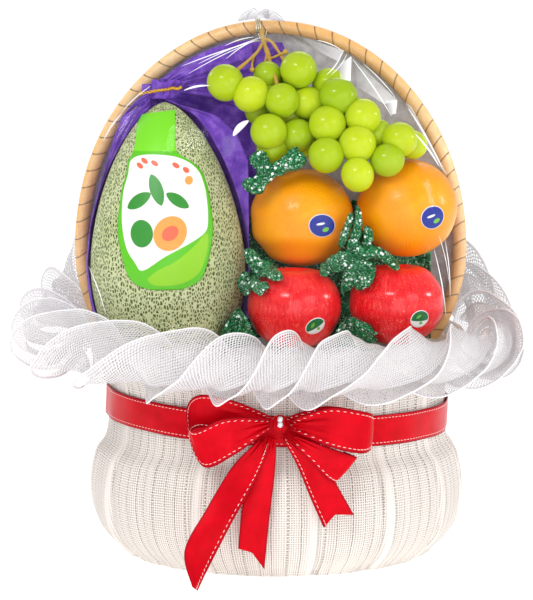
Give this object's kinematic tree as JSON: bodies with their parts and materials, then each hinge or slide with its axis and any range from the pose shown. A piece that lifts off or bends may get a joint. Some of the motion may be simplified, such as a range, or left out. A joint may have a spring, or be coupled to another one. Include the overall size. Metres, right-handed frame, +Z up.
{
  "type": "fruit gift basket",
  "caption": "Pleated cloth basket with a mesh garland, red bow and wrapped hoop, filled with fresh fruit under clear film.",
  "frame": {"origin": "centre of the basket's flat foot, on the surface it stands on", "axes": "+Z up, the bow and the open side of the hoop face -Y, +X to the right seen from the front"},
  "size_m": [0.4154, 0.4144, 0.4325],
  "materials": {
    "linen": "pleated open weave, matte",
    "rattan": "peeled cane wound on a hoop, lacquered",
    "mesh": "white open mesh, slightly glossy threads",
    "ribbon": "satin with stitched edges",
    "stone": "faceted, bright",
    "melon": "netted rind, waxy between the net",
    "label": "coated paper, white and lime green fields",
    "cloth": "soft crinkled nonwoven, matte",
    "wire": "bright wire",
    "orange": "pored peel, waxy",
    "apple": "smooth skin, streaked and dotted, waxy",
    "sticker_blue": "printed film",
    "sticker_green": "printed film",
    "grape": "translucent skin with a light bloom",
    "stem": "green-brown fruit stalk, matte",
    "tulle": "dark green net with silver glitter",
    "lining": "grey nonwoven sheet, matte",
    "film": "clear glossy film"
  },
  "bodies": {
    "root": {"basket_body": "linen", "hoop": "rattan", "mesh_garland": "mesh", "ribbon_band": "ribbon", "bow_loop_left": "ribbon", "bow_loop_right": "ribbon", "bow_loop_small": "ribbon", "bow_tail_left": "ribbon", "bow_tail_middle": "ribbon", "bow_tail_right": "ribbon", "bow_knot": "ribbon", "bow_stone": "stone", "melon": "melon", "melon_label": "label", "cloth_wrap": "cloth", "cloth_fan": "cloth", "cloth_tie": "wire", "orange_left": "orange", "orange_right": "orange", "apple_left": "apple", "apple_right": "apple", "sticker_orange_left": "sticker_blue", "sticker_orange_right": "sticker_blue", "sticker_apple_left": "sticker_green", "sticker_apple_right": "sticker_green", "grape_bunch": "grape", "grape_stem": "stem", "stem_tie": "wire", "tulle_top": "tulle", "tulle_left": "tulle", "tulle_strip": "tulle", "tulle_knot": "tulle", "tulle_low_left": "tulle", "tulle_low_middle": "tulle", "back_lining": "lining", "film": "film"}
  },
  "joints": []
}
